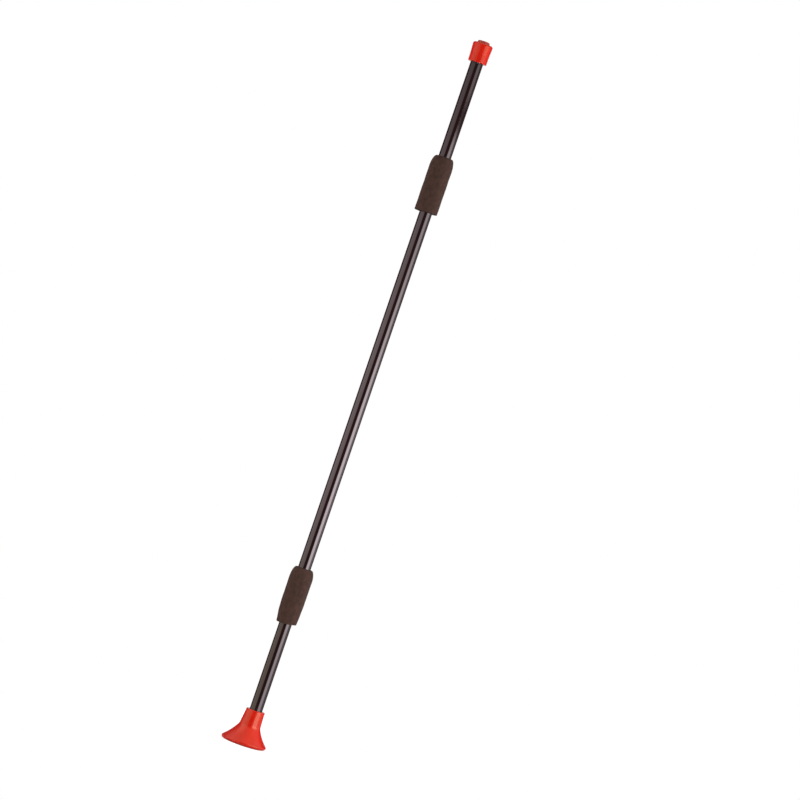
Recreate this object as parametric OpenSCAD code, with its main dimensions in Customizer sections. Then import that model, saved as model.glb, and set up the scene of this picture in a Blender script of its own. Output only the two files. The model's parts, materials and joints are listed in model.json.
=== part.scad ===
// Door security bar: a telescoping steel bar that stands between a door and the floor.
// It stands upright on its rubber foot: the origin is the middle of the sole, and +Z runs up the bar.
// The inner tube is drawn pushed right in, with its cap on the outer tube's mouth. Sizes are in millimetres.
// Turning the cap turns the lock screw, which draws the wedge nut into the slotted sleeve.
// The sleeve then spreads and grips the outer tube's bore.

/* [Outer tube] */
// Outside diameter of the outer tube
tube_d = 19.05; // [18:0.05:26]
// Wall of the outer tube
tube_wall = 1.2; // [0.8:0.1:1.6]
// Length of the outer tube
tube_len = 1035; // [960:1:1400]
// Bevel on the cut ends of both tubes
tube_bevel = 0.3; // [0.1:0.05:0.5]

/* [Inner tube] */
// Outside diameter of the inner tube
inner_d = 14; // [13:0.1:14.6]
// Wall of the inner tube
inner_wall = 1.2; // [0.8:0.1:1.4]
// Length of the inner tube
inner_len = 330; // [200:1:600]

/* [Foot] */
// Height of the foot
foot_h = 52.4; // [46:0.1:80]
// Diameter of the foot's lip
foot_d = 67.4; // [58:0.2:90]
// Height of the lip's upper edge
foot_lip_h = 5.4; // [5:0.1:8]
// Hollow of the flare between the lip and the neck
foot_hollow = 1.7; // [0.2:0.1:2]
// Height at which the neck starts
foot_neck_h = 27.8; // [24:0.1:38]
// Rubber around the tube at the start of the neck
foot_neck_wall = 6.4; // [5:0.1:9]
// Rubber around the tube at the neck's mouth
foot_mouth_wall = 4.2; // [3.5:0.1:6]
// Rubber left under the socket
foot_floor = 12; // [8:0.5:18]
// Rounding of the sole's edge
foot_sole_r = 3.4; // [1:0.1:4.5]
// Rounding of the lip's upper edge
foot_lip_r = 1.4; // [0.5:0.1:3.5]
// Rounding of the neck's mouth
foot_mouth_r = 1.2; // [0.3:0.1:2]
// Blend between the flare and the neck
foot_blend_r = 5; // [2:0.5:12]
// Bevel inside the neck's mouth
foot_lead = 0.8; // [0.3:0.1:1.2]

/* [Tread] */
// Rings cut into the sole
tread_rings = 4; // [2:1:4]
// Step from ring to ring
tread_step = 5; // [4:0.1:5.4]
// Width of a ring
tread_w = 2.4; // [1:0.1:3]
// Depth of a ring
tread_deep = 2; // [1:0.1:3]
// Diameter of the cup in the middle of the sole
tread_cup_d = 13; // [6:0.5:15]

/* [Grips] */
// Wall of the foam sleeves
foam_wall = 7.8; // [5:0.1:12]
// Length of each sleeve
grip_len = 85; // [60:1:130]
// Height of the lower sleeve's bottom end
lower_grip_z = 186; // [120:1:400]
// Bare tube between the mouth and the upper sleeve
upper_grip_drop = 144; // [60:0.5:300]
// Length of a sleeve's domed top end
grip_dome = 16.5; // [6:0.5:30]
// Share of the foam's wall that the domed end draws in
grip_dome_share = 0.74; // [0.3:0.01:0.9]
// Rounding of a sleeve's cut lower edge
grip_edge_r = 1.2; // [0.4:0.1:2]
// How much thinner the lower sleeve's foam is at its lower end
grip_draw = 1.6; // [0.2:0.1:2.5]
// Length over which it draws in
grip_draw_len = 28; // [10:1:50]

/* [Cap] */
// Height of the cap
cap_h = 29; // [26:0.5:50]
// Rubber around the inner tube at the cap's mouth and waist
cap_wall = 6.9; // [5.5:0.1:10]
// How far the cap's top stands out past its waist
cap_flare = 1.1; // [0.2:0.1:3]
// Height of the straight waist, from the mouth
cap_waist_h = 11; // [5:0.5:18]
// Depth of the cap's socket
cap_socket = 20; // [12:0.5:22]
// Rounding of the cap's shoulder
cap_shoulder_r = 2.4; // [0.5:0.1:4]
// Rounding of the cap's mouth
cap_mouth_r = 1.2; // [0.3:0.1:2]

/* [Button] */
// Diameter of the button's head
button_d = 18; // [12:0.2:22]
// Height of the button's head
button_h = 3.8; // [2:0.1:6]
// Rounding of the head
button_r = 1.6; // [0.4:0.1:1.8]
// Diameter over the barbs of the stem
stem_d = 7; // [5:0.1:8]
// Depth of a barb
barb_deep = 0.6; // [0.2:0.1:1]
// Height of a barb
barb_h = 3; // [2:0.1:4]
// Barbs on the stem
barbs = 4; // [2:1:5]

/* [Bush] */
// Length of the bush inside the outer tube
bush_len = 60; // [30:1:80]
// Thickness of the bush's flange
bush_flange = 1.5; // [1:0.1:3]
// Length of the guiding land at each end of the bush
bush_land = 14; // [8:0.5:14.5]
// Bevel at both ends of the bush's bore
bush_lead = 0.4; // [0.1:0.05:0.5]

/* [Lock] */
// Length of the plug inside the inner tube's lower end
plug_len = 22; // [18:0.5:40]
// Thickness of the plug's flange
plug_flange = 3; // [2:0.1:6]
// Diameter of the plug's two pins
pin_d = 3; // [2:0.1:3.5]
// Height of the pins above the inner tube's lower end
pin_z = 10; // [6:0.5:12]
// Diameter of the lock screw
screw_d = 5; // [4:0.1:5.5]
// Rise of the screw's thread in one turn
screw_pitch = 0.8; // [0.5:0.05:1]
// Turns from locked to free
screw_turns = 1.5; // [0.5:0.5:2]
// Width across the flats of the screw's head and of the stop nut
hex_af = 8; // [7:0.1:8.6]
// Height of the screw's head
head_h = 3.5; // [2.5:0.1:5]
// Thickness of the stop nut
nut_h = 4; // [3:0.1:6]
// Screw that shows below the stop nut
screw_tail = 1; // [0.5:0.1:3]
// Length of the expander sleeve
sleeve_len = 30; // [26:0.5:40]
// Length of the sleeve's closed collar
sleeve_collar = 8; // [7:0.1:10]
// Width of the sleeve's slots
slot_w = 1.6; // [1:0.1:2]
// Length of the sleeve's slots, from its lower end
slot_len = 20; // [16:0.5:20.5]
// Wall of the sleeve at the mouth of its tapered socket
sleeve_wall = 1.6; // [1:0.1:2]
// Slope of the taper, from the axis in degrees
taper_angle = 6; // [4:0.5:8]
// Length of the wedge nut's taper inside the sleeve
wedge_grip = 16; // [12:0.5:20]
// Length of the wedge nut below the sleeve
wedge_tail = 3; // [2.5:0.1:6]
// Length of the wedge nut's keys
key_len = 9; // [5:0.5:11]
// Thickness of the drag ring
drag_ring_t = 1.8; // [1.2:0.1:2]

/* [Washers] */
// Thickness of the foot and cap washers
washer_t = 1.5; // [1:0.1:3]
// Thickness of the lock washer
lock_washer_t = 1; // [0.5:0.1:2]
// Width of the lock washer's rim around the screw
lock_washer_rim = 4.2; // [3:0.1:4.8]

/* [Clearances] */
// Gap all round between pieces that are pressed together
press_gap = 0.05; // [0.02:0.01:0.1]
// Gap all round a piece that slides or turns in another
run_gap = 0.1; // [0.05:0.01:0.15]
// Gap at an end stop
rest_gap = 0.3; // [0.1:0.05:0.5]
// Gap all round a piece that passes freely through another
free_gap = 0.3; // [0.15:0.05:0.5]

/* [Hidden] */
$fn = 96;
ARC_STEPS = 10;
DOME_STEPS = 16;
LEG_SHARE = 0.7;
HEX = 6;
CUT = 1;

PAINT = "#2b1d1c";
RED = "#d23a26";
FOAM = "#4b3831";
MAROON = "#7a2a24";
STEEL = "#b9bcc0";
NYLON = "#e4e0d6";
BLACK = "#1d1c1c";

// Bores, and the heights of the outer pieces
tube_bore = tube_d - 2 * tube_wall;
inner_bore = inner_d - 2 * inner_wall;
tube_z = foot_floor + washer_t;
tube_top = tube_z + tube_len;
bush_bottom = tube_top - bush_len;
cap_z = tube_top + bush_flange + rest_gap;
cap_floor = cap_z + cap_socket;
cap_top = cap_z + cap_h;
inner_top = cap_floor - washer_t;
inner_z = inner_top - inner_len;

// Heights of the lock, which hangs below the inner tube
plug_z = inner_z - plug_flange;
lock_washer_z = plug_z - lock_washer_t;
sleeve_top = lock_washer_z - run_gap;
sleeve_z = sleeve_top - sleeve_len;
wedge_z = sleeve_z - wedge_tail;
wedge_travel = screw_pitch * screw_turns;
nut_top = wedge_z - wedge_travel - rest_gap;
screw_z = nut_top - nut_h - screw_tail;
head_z = inner_z + plug_len - head_h;
extension = bush_bottom - inner_z - rest_gap;

// Sizes of the lock that follow from what it fits
sleeve_d = tube_bore - 2 * run_gap;
taper_len = sleeve_len - sleeve_collar;
taper_slope = tan(taper_angle);
taper_mouth_d = sleeve_d - 2 * sleeve_wall;
wedge_mouth_d = taper_mouth_d - 2 * run_gap;
wedge_top_d = wedge_mouth_d - 2 * taper_slope * wedge_grip;
hex_corner_d = hex_af / cos(180 / HEX);
drag_groove_w = drag_ring_t + 2 * press_gap;
drag_ring_z = sleeve_top - sleeve_collar / 2;

echo(height = cap_top + button_h, extension = extension, wedge_travel = wedge_travel);
echo(tube_top = tube_top, inner_z = inner_z, sleeve_z = sleeve_z, wedge_z = wedge_z);

// Unit vector along v
function unit(v) = v / norm(v);

// Points of the arc of radius r that rounds the corner at b between a and c
function corner(a, b, c, r) =
    let (
        u = unit(a - b),
        v = unit(c - b),
        half = acos(u * v) / 2,
        middle = b + unit(u + v) * r / sin(half),
        start = b + u * r / tan(half) - middle,
        end = b + v * r / tan(half) - middle,
        from = atan2(start.y, start.x),
        turn = (atan2(end.y, end.x) - from + 540) % 360 - 180
    )
    [
        for (i = [0 : ARC_STEPS])
            let (angle = from + turn * i / ARC_STEPS)
            middle + r * [cos(angle), sin(angle)]
    ];

// Rounding that takes up a share of both legs of a corner that turns by the given angle
function blend_r(leg, angle) = LEG_SHARE * leg / tan(angle / 2);

// Outline through corners given as [radius from the axis, height, rounding]
function outline(path) =
    let (n = len(path))
    [
        for (i = [0 : n - 1])
            let (p = path[i], before = path[(i + n - 1) % n], after = path[(i + 1) % n])
            each p[2] > 0
                ? corner([before.x, before.y], [p.x, p.y], [after.x, after.y], p[2])
                : [[p.x, p.y]]
    ];

// Solid of revolution of such an outline
module turned(path) {
    rotate_extrude() polygon(outline(path));
}

// Upright cylinder of diameter d from z0 to z1, a rod or a bore
module upright(d, z0, z1) {
    translate([0, 0, z0]) cylinder(d = d, h = z1 - z0);
}

// Bevel of the given width at the mouth of a bore, on the face at height z that looks up (1) or down (-1)
module bore_lead(d, lead, z, up) {
    translate([0, 0, z]) mirror([0, 0, up > 0 ? 0 : 1]) translate([0, 0, -lead])
        cylinder(d1 = d, d2 = d + 4 * lead, h = 2 * lead);
}

// Steel tube with bevelled ends
module tube(d, wall, z0, len) {
    r = d / 2;
    difference() {
        turned([
            [0, z0, 0], [r - tube_bevel, z0, 0], [r, z0 + tube_bevel, 0],
            [r, z0 + len - tube_bevel, 0], [r - tube_bevel, z0 + len, 0], [0, z0 + len, 0]
        ]);
        upright(d - 2 * wall, z0 - CUT, z0 + len + CUT);
    }
}

// Flat washer
module washer(d, hole, z, t) {
    difference() {
        upright(d, z, z + t);
        upright(hole, z - CUT, z + t + CUT);
    }
}

// Outline of a foam sleeve's domed end below its top: a quarter of an ellipse
function dome(r, top) =
    [
        for (i = [0 : DOME_STEPS])
            let (angle = 90 * i / DOME_STEPS)
            [
                r - grip_dome_share * foam_wall * (1 - cos(angle)),
                top - grip_dome * (1 - sin(angle)),
                0
            ]
    ];

// Foam sleeve: domed at the top, cut square below, thinner by draw at its lower end
module grip(z, draw) {
    r = tube_d / 2 + foam_wall;
    straight_len = grip_len - grip_draw_len - grip_dome;
    draw_r = draw > 0 ? blend_r(min(grip_draw_len, straight_len), atan(draw / grip_draw_len)) : 0;
    difference() {
        turned([
            [0, z, 0], [r - draw, z, grip_edge_r], [r, z + grip_draw_len, draw_r],
            each dome(r, z + grip_len), [0, z + grip_len, 0]
        ]);
        upright(tube_d + 2 * press_gap, z - CUT, z + grip_len + CUT);
    }
}

// Hexagon prism of the lock's screw head and stop nut
module hex_prism(gap, z0, z1) {
    translate([0, 0, z0]) cylinder(d = hex_corner_d + 2 * gap, h = z1 - z0, $fn = HEX);
}

module outer_tube() {
    color(PAINT) tube(tube_d, tube_wall, tube_z, tube_len);
}

module foot() {
    socket_d = tube_d + 2 * press_gap;
    lip = [foot_d / 2, foot_lip_h];
    neck = [tube_d / 2 + foot_neck_wall, foot_neck_h];
    chord = neck - lip;
    hollow = (lip + neck) / 2 - foot_hollow * unit([chord.y, -chord.x]);
    hollow_r = blend_r(norm(chord) / 2, 2 * atan(2 * foot_hollow / norm(chord)));
    color(RED) difference() {
        turned([
            [0, 0, 0], [lip.x, 0, foot_sole_r], [lip.x, lip.y, foot_lip_r],
            [hollow.x, hollow.y, hollow_r], [neck.x, neck.y, foot_blend_r],
            [tube_d / 2 + foot_mouth_wall, foot_h, foot_mouth_r], [0, foot_h, 0]
        ]);
        upright(socket_d, foot_floor, foot_h + CUT);
        bore_lead(socket_d, foot_lead, foot_h, 1);
        upright(tread_cup_d, -CUT, tread_deep);
        for (i = [1 : tread_rings])
            rotate_extrude()
                translate([tread_cup_d / 2 - tread_w + i * tread_step, -CUT])
                    square([tread_w, tread_deep + CUT]);
    }
}

module foot_washer() {
    color(STEEL) washer(tube_d, tube_bore / 2, foot_floor, washer_t);
}

module lower_grip() {
    color(FOAM) grip(lower_grip_z, grip_draw);
}

module upper_grip() {
    color(FOAM) grip(tube_top - upper_grip_drop - grip_len, 0);
}

module mouth_bush() {
    bush_bore = inner_d + 2 * run_gap;
    bush_top = tube_top + bush_flange;
    color(BLACK) difference() {
        union() {
            upright(tube_bore - 2 * press_gap, bush_bottom, bush_top);
            upright(tube_d, tube_top, bush_top);
        }
        upright(bush_bore, bush_bottom - CUT, bush_top + CUT);
        upright(inner_d + 2 * free_gap, bush_bottom + bush_land, bush_top - bush_land);
        bore_lead(bush_bore, bush_lead, bush_top, 1);
        bore_lead(bush_bore, bush_lead, bush_bottom, -1);
    }
}

module inner_tube() {
    color(STEEL) difference() {
        tube(inner_d, inner_wall, inner_z, inner_len);
        translate([0, 0, inner_z + pin_z]) rotate([90, 0, 0])
            cylinder(d = pin_d + 2 * press_gap, h = inner_d + 2 * CUT, center = true);
    }
}

module top_insert() {
    insert_d = inner_bore - 2 * press_gap;
    insert_len = (barbs + 1) * barb_h;
    color(NYLON) washer(insert_d, stem_d + 2 * press_gap, inner_top - insert_len, insert_len);
}

module cap_washer() {
    color(STEEL) washer(inner_d, stem_d + 2 * free_gap, inner_top, washer_t);
}

module top_cap() {
    waist_r = inner_d / 2 + cap_wall;
    waist_blend = blend_r(cap_waist_h, atan(cap_flare / (cap_h - cap_waist_h)));
    color(RED) difference() {
        translate([0, 0, cap_z]) turned([
            [0, 0, 0], [waist_r, 0, cap_mouth_r], [waist_r, cap_waist_h, waist_blend],
            [waist_r + cap_flare, cap_h, cap_shoulder_r], [0, cap_h, 0]
        ]);
        upright(inner_d + 2 * press_gap, cap_z - CUT, cap_floor);
        upright(stem_d + 2 * press_gap, cap_floor - CUT, cap_top + CUT);
    }
}

module cap_button() {
    core = stem_d / 2 - barb_deep;
    stem_bottom = inner_top - barbs * barb_h;
    color(MAROON) {
        translate([0, 0, cap_top]) turned([
            [0, 0, 0], [button_d / 2, 0, 0], [button_d / 2, button_h, button_r], [0, button_h, 0]
        ]);
        upright(stem_d, inner_top, cap_top + CUT);
        for (i = [0 : barbs - 1])
            translate([0, 0, stem_bottom + i * barb_h]) cylinder(r1 = core, r2 = stem_d / 2, h = barb_h);
    }
}

module screw_plug() {
    color(NYLON) difference() {
        union() {
            upright(inner_bore - 2 * press_gap, plug_z, inner_z + plug_len);
            upright(tube_bore - 2 * free_gap, plug_z, inner_z);
        }
        upright(screw_d + 2 * press_gap, plug_z - CUT, head_z + CUT);
        hex_prism(press_gap, head_z, inner_z + plug_len + CUT);
        for (side = [-1, 1]) side_pin(side, press_gap);
    }
}

// Short pin through the tube's wall into the plug, before (-1) or behind (1) the screw, widened by gap
module side_pin(side, gap) {
    inner_end = screw_d / 2 + free_gap - gap;
    outer_end = inner_d / 2 - free_gap + gap;
    translate([0, side * (inner_end + outer_end) / 2, inner_z + pin_z]) rotate([90, 0, 0])
        cylinder(d = pin_d + 2 * gap, h = outer_end - inner_end, center = true);
}

module front_pin() {
    color(STEEL) side_pin(-1, 0);
}

module back_pin() {
    color(STEEL) side_pin(1, 0);
}

module lock_screw() {
    color(STEEL) {
        hex_prism(0, head_z, head_z + head_h);
        upright(screw_d, screw_z, head_z + CUT);
    }
}

module lock_washer() {
    color(STEEL) washer(screw_d + 2 * lock_washer_rim, screw_d + 2 * press_gap, lock_washer_z, lock_washer_t);
}

module stop_nut() {
    color(STEEL) difference() {
        hex_prism(0, nut_top - nut_h, nut_top);
        upright(screw_d + 2 * press_gap, nut_top - nut_h - CUT, nut_top + CUT);
    }
}

module expander_sleeve() {
    groove_r = tube_bore / 2 - drag_ring_t - 2 * press_gap;
    color(NYLON) difference() {
        upright(sleeve_d, sleeve_z, sleeve_top);
        upright(screw_d + 2 * run_gap, sleeve_z - CUT, sleeve_top + CUT);
        translate([0, 0, sleeve_z - CUT])
            cylinder(
                d1 = taper_mouth_d + 2 * taper_slope * CUT,
                d2 = taper_mouth_d - 2 * taper_slope * taper_len,
                h = taper_len + CUT
            );
        for (turn = [0, 90])
            rotate(turn) translate([-sleeve_d, -slot_w / 2, sleeve_z - CUT])
                cube([2 * sleeve_d, slot_w, slot_len + CUT]);
        rotate_extrude() translate([groove_r, drag_ring_z - drag_groove_w / 2])
            square([drag_ring_t + CUT, drag_groove_w]);
    }
}

module drag_ring() {
    color(BLACK) rotate_extrude()
        translate([tube_bore / 2 - press_gap - drag_ring_t / 2, drag_ring_z]) circle(d = drag_ring_t);
}

module wedge_nut() {
    key_w = slot_w - 2 * run_gap;
    key_reach = sleeve_d / 2 - free_gap;
    color(BLACK) difference() {
        union() {
            upright(wedge_mouth_d, wedge_z, sleeve_z);
            translate([0, 0, sleeve_z]) cylinder(d1 = wedge_mouth_d, d2 = wedge_top_d, h = wedge_grip);
            translate([-key_reach, -key_w / 2, sleeve_z]) cube([2 * key_reach, key_w, key_len]);
        }
        upright(screw_d + 2 * press_gap, wedge_z - CUT, sleeve_z + wedge_grip + CUT);
    }
}

outer_tube();
foot();
foot_washer();
lower_grip();
upper_grip();
mouth_bush();
inner_tube();
top_insert();
cap_washer();
top_cap();
cap_button();
screw_plug();
front_pin();
back_pin();
lock_screw();
lock_washer();
stop_nut();
expander_sleeve();
drag_ring();
wedge_nut();
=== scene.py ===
"""Looks of a telescoping door security bar, built round its packed CAD model.

Laid out as an add-on and run as a script: each operator makes one group of pieces, and main() calls them in
order. Lengths are in metres, in the CAD model's frame: the bar stands on z = 0, and its axis is the z axis.
"""

import json
from math import cos, pi, radians, sin, tan
from typing import NamedTuple

import bpy
import numpy as np
from bpy.props import FloatProperty, FloatVectorProperty, IntProperty, PointerProperty
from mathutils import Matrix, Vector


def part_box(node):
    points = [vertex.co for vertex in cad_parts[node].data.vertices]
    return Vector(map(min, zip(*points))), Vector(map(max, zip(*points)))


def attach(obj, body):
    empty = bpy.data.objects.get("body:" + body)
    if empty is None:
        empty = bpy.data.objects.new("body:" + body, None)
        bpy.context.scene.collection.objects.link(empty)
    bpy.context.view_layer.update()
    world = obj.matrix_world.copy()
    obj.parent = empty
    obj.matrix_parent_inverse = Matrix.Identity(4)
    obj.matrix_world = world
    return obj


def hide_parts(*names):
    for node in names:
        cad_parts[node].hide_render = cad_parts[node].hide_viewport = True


bl_info = {
    "name": "Door security bar",
    "version": (1, 0, 0),
    "blender": (4, 5, 0),
    "location": "3D View > Sidebar > Door bar",
    "description": "Builds the tubes, rubber, foam and twist lock of a door security bar, and its studio",
    "category": "Object",
}

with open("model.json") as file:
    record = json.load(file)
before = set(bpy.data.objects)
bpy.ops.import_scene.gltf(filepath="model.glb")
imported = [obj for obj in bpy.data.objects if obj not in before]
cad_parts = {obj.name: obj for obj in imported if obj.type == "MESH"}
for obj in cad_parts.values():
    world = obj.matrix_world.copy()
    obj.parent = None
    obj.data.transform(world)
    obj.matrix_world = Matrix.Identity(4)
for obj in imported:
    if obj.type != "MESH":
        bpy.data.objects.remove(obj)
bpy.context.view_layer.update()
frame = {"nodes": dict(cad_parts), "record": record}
SLOT_OF = {row["node"]: row["material_slot"] for row in frame["record"]["subparts"]}
BODY_OF = {node: body for body, nodes in frame["record"]["behaviour"]["bodies"].items() for node in nodes}

# Steps round the axis, round a corner's arc and round the drag ring's section
TURNS = 192
RUBBER_TURNS = 256
FOAM_TURNS = 240
PIN_TURNS = 48
FLOOR_TURNS = 64
ARC_STEPS = 10
RING_STEPS = 40

# Longest steps along the outlines, and the steps in one pitch of the thread
TUBE_STEP = 0.02
PLATED_STEP = 0.01
SOLE_STEP = 0.0012
RUBBER_STEP = 0.0008
FOAM_STEP = 0.0005
HEAD_STEP = 0.002
NUT_STEP = 0.0005
THREAD_STEPS = 8

# Gaps of pressed and of free pieces, roundings of small edges, and differences too small to matter
PRESS_GAP = 0.00005
FREE_GAP = 0.0003
FINE_EDGE = 0.0002
SOFT_EDGE = 0.0003
SAME_SIZE = 1e-6
SAME_POINT = 1e-8

# Share of a straight side that a long soft bend takes up
BEND_SHARE = 0.7

# Lumps in the foam: waves added up, ranges of their crests round the axis and pitch along it, and the seeds
LUMP_WAVES = 16
LUMP_CRESTS = (2, 18)
LUMP_PITCH = (0.006, 0.04)
LOWER_SEED = 11
UPPER_SEED = 23

# Sides of a hexagon, angle from which an edge is drawn sharp, and the middle of a noise's range
HEX = 6
SHARP_ANGLE = radians(32)
MIDDLE = (0.3, 0.7)

# Heights of the softboxes' lower and upper edges, and the colour of white light
SOFTBOX_LOW = -0.25
SOFTBOX_HIGH = 1.5
WHITE = (1, 1, 1, 1)


# User settings

def length(name, description, default):
    """Property that holds a length."""
    return FloatProperty(
        name=name, description=description, default=default, min=0, precision=5, unit="LENGTH"
    )


def level(name, description, default):
    """Property that holds a strength of light."""
    return FloatProperty(name=name, description=description, default=default, min=0)


def colour(name, description, default):
    """Property that holds a surface colour."""
    return FloatVectorProperty(
        name=name, description=description, default=default, min=0, max=1, size=3, subtype="COLOR"
    )


class DoorBarTubes(bpy.types.PropertyGroup):
    """Sizes of the two tubes and the bush between them"""

    outer_wall: length("Outer wall", "Wall of the painted tube", 0.0012)
    inner_wall: length("Inner wall", "Wall of the plated tube", 0.0012)
    end_bevel: length("End bevel", "Bevel on the cut ends of both tubes", 0.0003)
    seam_height: length("Seam height", "How far the painted tube's weld seam stands proud", 0.00004)
    seam_width: length("Seam width", "Half the width of that seam", 0.0008)
    pin_height: length("Pin height", "Height of the plug's pins above the inner tube's lower end", 0.010)
    bush_flange: length("Bush flange", "Thickness of the bush's flange on the tube's mouth", 0.0015)
    bush_land: length("Bush land", "Length of the guiding land at each end of the bush", 0.014)
    bush_lead: length("Bush lead", "Bevel at both ends of the bush's bore", 0.0004)


class DoorBarFoot(bpy.types.PropertyGroup):
    """Sizes of the flared foot and its tread"""

    lip_height: length("Lip height", "Height of the lip's upper edge", 0.0047)
    hollow: length("Hollow", "Hollow of the flare between the lip and the neck", 0.0020)
    neck_height: length("Neck height", "Height at which the neck starts", 0.0278)
    neck_wall: length("Neck wall", "Rubber around the tube at the start of the neck", 0.0064)
    mouth_wall: length("Mouth wall", "Rubber around the tube at the neck's mouth", 0.0042)
    floor: length("Floor", "Rubber left under the socket", 0.012)
    sole_rounding: length("Sole rounding", "Rounding of the sole's edge", 0.0034)
    lip_rounding: length("Lip rounding", "Rounding of the lip's upper edge", 0.0014)
    mouth_rounding: length("Mouth rounding", "Rounding of the neck's mouth", 0.0012)
    neck_blend: length("Neck blend", "Blend between the flare and the neck", 0.011)
    skew: length("Skew", "How far the lip sits to the -X side of the tube", 0.0023)
    rings: IntProperty(name="Tread rings", description="Rings cut into the sole", default=4, min=1, max=4)
    ring_step: length("Ring step", "Step from ring to ring", 0.005)
    ring_width: length("Ring width", "Width of a ring", 0.0024)
    ring_depth: length("Ring depth", "Depth of the rings and of the cup", 0.002)
    cup_radius: length("Cup radius", "Radius of the cup in the middle of the sole", 0.0065)
    flash: length("Mould line", "How far the mould lines stand proud of the rubber", 0.00012)
    flash_width: length("Mould line width", "Half the width of a mould line", 0.0004)
    flash_rise: length("Mould line rise", "Height of the lip's mould line above the sole's rounding", 0.0006)


class DoorBarGrips(bpy.types.PropertyGroup):
    """Sizes of the two foam grips"""

    shoulder: length("Shoulder", "How far a grip's domed top end draws in", 0.0058)
    dome: length("Dome", "Length of a grip's domed top end", 0.0165)
    cut_edge: length("Cut edge", "Rounding of a grip's cut lower edge", 0.0012)
    draw: length("Draw", "How much thinner the lower grip's foam is at its lower end", 0.0016)
    draw_length: length("Draw length", "Length over which the lower grip draws in", 0.028)
    lower_slant: length("Lower slant", "Rise of the lower grip's crooked cut towards +X", 0.0020)
    upper_slant: length("Upper slant", "Rise of the upper grip's crooked cut towards +X", 0.0005)
    upper_shift: length("Upper shift", "How far the upper grip's skin sits to the tube's -X side", 0.0005)
    cut_reach: length("Cut reach", "How far up a grip its crooked cut is felt", 0.020)
    bore_edge: length("Bore edge", "Rounding of a grip's edges on the tube", 0.0005)
    lump: length("Lumps", "Height of the soft lumps in the foam's skin", 0.00016)


class DoorBarCap(bpy.types.PropertyGroup):
    """Sizes of the cap and of the button on it"""

    wall: length("Wall", "Rubber around the inner tube at the cap's waist", 0.0069)
    flare: length("Flare", "How far the cap's top stands out past its waist", 0.0011)
    waist_height: length("Waist height", "Height of the straight waist, from the mouth", 0.011)
    socket: length("Socket", "Depth of the cap's socket", 0.020)
    socket_edge: length("Socket edge", "Rounding of the socket's mouth", 0.0004)
    shoulder: length("Shoulder", "Rounding of the cap's shoulder", 0.0024)
    mouth_rounding: length("Mouth rounding", "Rounding of the cap's mouth", 0.0012)
    button_height: length("Button height", "Height of the button's head", 0.0038)
    button_rounding: length("Button rounding", "Rounding of the button's head", 0.0016)
    stem_radius: length("Stem radius", "Radius over the barbs of the button's stem", 0.0035)
    barb_depth: length("Barb depth", "Depth of a barb on the stem", 0.0006)
    barbs: IntProperty(name="Barbs", description="Barbs on the stem", default=4, min=1, max=5)


class DoorBarLock(bpy.types.PropertyGroup):
    """Sizes of the twist lock's turned and threaded pieces"""

    screw_radius: length("Screw radius", "Radius of the lock screw", 0.0025)
    pitch: length("Thread pitch", "Rise of the thread in one turn", 0.0008)
    thread_depth: length("Thread depth", "Depth of the thread", 0.00048)
    hex_width: length("Hexagon width", "Width across the flats of the head and of the stop nut", 0.008)
    head_height: length("Head height", "Height of the screw's head", 0.0035)
    head_face: length("Head face", "Radius of the flat face on the screw's head", 0.00376)
    nut_face: length("Nut face", "Radius of the flat faces on the stop nut", 0.0038)
    edge: length("Edge", "Rounding of stamped and turned edges", 0.00025)
    chamfer: length("Chamfer", "Chamfer of the hexagon's corners and of the screw's tip", 0.0006)


class DoorBarColours(bpy.types.PropertyGroup):
    """Colours of the bar's finishes"""

    paint: colour("Paint", "Gloss paint of the outer tube", (0.0120, 0.0028, 0.0030))
    rubber: colour("Rubber", "Moulded rubber of the foot and cap", (0.575, 0.0098, 0.0034))
    foam: colour("Foam", "Foam of the grips", (0.0530, 0.0262, 0.0188))
    button: colour("Button", "Rubber of the cap's button", (0.42, 0.050, 0.035))
    plating: colour("Plating", "Bright plating of the inner tube", (0.70, 0.71, 0.73))
    zinc: colour("Zinc", "Zinc plating of screw, nut, pins and washers", (0.60, 0.61, 0.62))
    nylon: colour("Nylon", "Natural nylon of plug, insert and sleeve", (0.74, 0.71, 0.63))
    black: colour("Black", "Black nylon and rubber of bush, wedge nut and ring", (0.017, 0.017, 0.018))


class DoorBarStage(bpy.types.PropertyGroup):
    """Camera and light of the studio"""

    distance: length("Camera distance", "Distance from the camera to the bar's axis", 4.7)
    view_width: length("View width", "Width of the view at the bar", 1.1673)
    aim_x: FloatProperty(name="Aim X", description="Middle of the view", default=0.0527, unit="LENGTH")
    aim_z: length("Aim Z", "Height of the view's middle", 0.5486)
    roll: FloatProperty(
        name="Roll", description="Lean of the bar in the picture", default=radians(18.857), unit="ROTATION"
    )
    floor_radius: length("Floor radius", "Radius of the pale floor", 0.46)
    key: level("Key", "Radiance of the softbox on the right", 5.8)
    rim: level("Rim", "Radiance of the softbox far round on the right", 1.0)
    fill: level("Fill", "Radiance of the softbox on the left", 1.35)
    ambient: level("Ambient", "Level of the soft light from the surroundings", 0.33)
    room: level("Room", "Level that gloss sees before the bar", 0.06)


SETTINGS = {
    "door_bar_tubes": DoorBarTubes,
    "door_bar_foot": DoorBarFoot,
    "door_bar_grips": DoorBarGrips,
    "door_bar_cap": DoorBarCap,
    "door_bar_lock": DoorBarLock,
    "door_bar_colours": DoorBarColours,
    "door_bar_stage": DoorBarStage,
}


# Surfaces

def unit(vectors):
    """Vectors divided by their own lengths."""
    return vectors / np.linalg.norm(vectors, axis=-1, keepdims=True)


def smooth(values, start, end):
    """0 before start, 1 after end, and 3t^2 - 2t^3 between them, where t is the share of the way."""
    share = np.clip((values - start) / (end - start), 0, 1)
    return share * share * (3 - 2 * share)


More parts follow.
